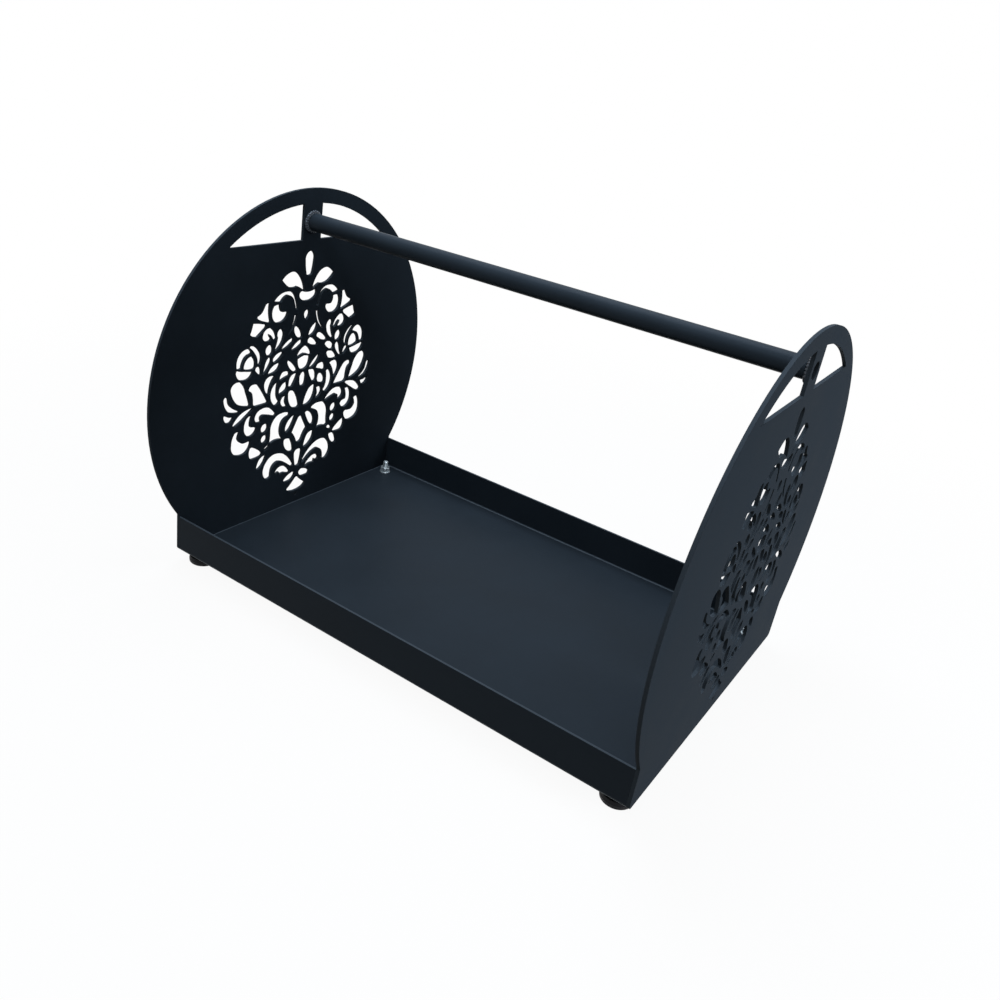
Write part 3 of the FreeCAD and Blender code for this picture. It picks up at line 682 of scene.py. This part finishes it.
class CRADLE_OT_studio(bpy.types.Operator):
    """Set up the pale floor, the soft lights and the camera"""
    bl_idname = "cradle.studio"
    bl_label = "Studio"

    def execute(self, context):
        scene, studio = context.scene, context.scene.cradle_studio
        scene.view_settings.view_transform = "Standard"
        self.floor(scene, studio)
        self.room(scene, studio)
        self.softbox(scene, "overhead_softbox", studio.key_light)
        self.softbox(scene, "side_softbox", studio.side_light)
        self.softbox(scene, "front_strip", studio.front_light)
        self.camera(scene, studio)
        return {"FINISHED"}

    def floor(self, scene, studio):
        """A round sheet: rings of points about the origin, one row for each of a few radii."""
        angle = np.arange(FLOOR_TURNS) * (2 * np.pi / FLOOR_TURNS)
        rings = column([*FLOOR_RINGS, studio.floor_radius])
        level = np.zeros((len(rings), FLOOR_TURNS))
        points = np.stack([rings * np.cos(angle), rings * np.sin(angle), level], axis=-1)
        index = np.arange(level.size).reshape(level.shape)
        ahead = np.roll(index, -1, axis=1)
        faces = np.stack([index[:-1], index[1:], ahead[1:], ahead[:-1]], axis=-1).reshape(-1, 4)
        mesh = bpy.data.meshes.new("studio_floor")
        mesh.from_pydata(points.reshape(-1, 3).tolist(), [], faces.tolist())
        mesh.validate()
        mesh.materials.append(pale_floor(scene.cradle_colours))
        made = bpy.data.objects.new("studio_floor", mesh)
        scene.collection.objects.link(made)

    def room(self, scene, studio):
        """A room that reads as white and lights the part with the room light alone."""
        scene.world = scene.world or bpy.data.worlds.new("white_room")
        scene.world.use_nodes = True
        tree = scene.world.node_tree
        tree.nodes.clear()
        strength = node(tree, "ShaderNodeMapRange", inputs={
            "Value": background_rays(tree), "To Min": studio.world_light, "To Max": 1.0}).outputs[0]
        light = node(tree, "ShaderNodeBackground", inputs={"Color": WHITE, "Strength": strength})
        node(tree, "ShaderNodeOutputWorld", inputs={"Surface": light.outputs[0]})

    def softbox(self, scene, name, power):
        """A rectangular lamp that faces its target."""
        place, target, width, depth = LAMPS[name]
        light = bpy.data.lights.new(name, "AREA")
        light.shape = "RECTANGLE"
        light.color = scene.cradle_colours.daylight
        light.energy, light.size, light.size_y = power, width, depth
        made = bpy.data.objects.new(name, light)
        ahead = np.array(target) - np.array(place)
        made.matrix_world = self.aimed(place, ahead / np.linalg.norm(ahead), 0.0)
        scene.collection.objects.link(made)

    def camera(self, scene, studio):
        """The camera of the main view, aimed by its yaw and pitch and turned by its roll."""
        lens = bpy.data.cameras.new("photo_camera")
        lens.sensor_width, lens.lens = SENSOR_WIDTH, studio.lens
        lens.shift_x, lens.shift_y = studio.shift
        lens.clip_start, lens.clip_end = CLIP_NEAR, CLIP_FAR
        made = bpy.data.objects.new("photo_camera", lens)
        ahead = np.array([
            -math.sin(studio.yaw) * math.cos(studio.pitch), math.cos(studio.yaw) * math.cos(studio.pitch),
            -math.sin(studio.pitch)])
        made.matrix_world = self.aimed(studio.camera_place, ahead, studio.roll)
        scene.collection.objects.link(made)
        scene.camera = made

    def aimed(self, place, ahead, roll):
        """Pose that looks along a direction: right is ahead crossed with up, then both turn by the roll."""
        right = np.cross(ahead, (0.0, 0.0, 1.0))
        right = right / np.linalg.norm(right)
        up = np.cross(right, ahead)
        across = right * math.cos(roll) + up * math.sin(roll)
        over = up * math.cos(roll) - right * math.sin(roll)
        pose = np.eye(4)
        pose[:3] = np.stack([across, over, -ahead, np.array(place)], axis=1)
        return Matrix(pose.tolist())


class CRADLE_PT_sidebar(bpy.types.Panel):
    """Sizes, colours and the steps of the log cradle"""
    bl_idname = "CRADLE_PT_sidebar"
    bl_label = "Log Cradle"
    bl_space_type = "VIEW_3D"
    bl_region_type = "UI"
    bl_category = "Log Cradle"

    def draw(self, context):
        for operator in OPERATORS:
            self.layout.operator(operator.bl_idname)
        for group in (context.scene.cradle_sizes, context.scene.cradle_colours, context.scene.cradle_studio):
            box = self.layout.box()
            for name in group.bl_rna.properties.keys():
                if name not in ("rna_type", "name"):
                    box.prop(group, name)


GROUPS = {"cradle_sizes": CradleSizes, "cradle_colours": CradleColours, "cradle_studio": CradleStudio}
OPERATORS = (
    CRADLE_OT_powder_coat, CRADLE_OT_weld_beads, CRADLE_OT_foot_studs, CRADLE_OT_lock_nuts,
    CRADLE_OT_washers, CRADLE_OT_foot_pads, CRADLE_OT_studio)


def register():
    for made in (*GROUPS.values(), *OPERATORS, CRADLE_PT_sidebar):
        bpy.utils.register_class(made)
    for name, group in GROUPS.items():
        setattr(bpy.types.Scene, name, bpy.props.PointerProperty(type=group))


def unregister():
    for name in GROUPS:
        delattr(bpy.types.Scene, name)
    for made in (CRADLE_PT_sidebar, *reversed(OPERATORS), *reversed(GROUPS.values())):
        bpy.utils.unregister_class(made)


def main():
    register()
    bpy.ops.cradle.powder_coat()
    bpy.ops.cradle.weld_beads()
    bpy.ops.cradle.foot_studs()
    bpy.ops.cradle.lock_nuts()
    bpy.ops.cradle.washers()
    bpy.ops.cradle.foot_pads()
    bpy.ops.cradle.studio()


if __name__ == "__main__":
    main()
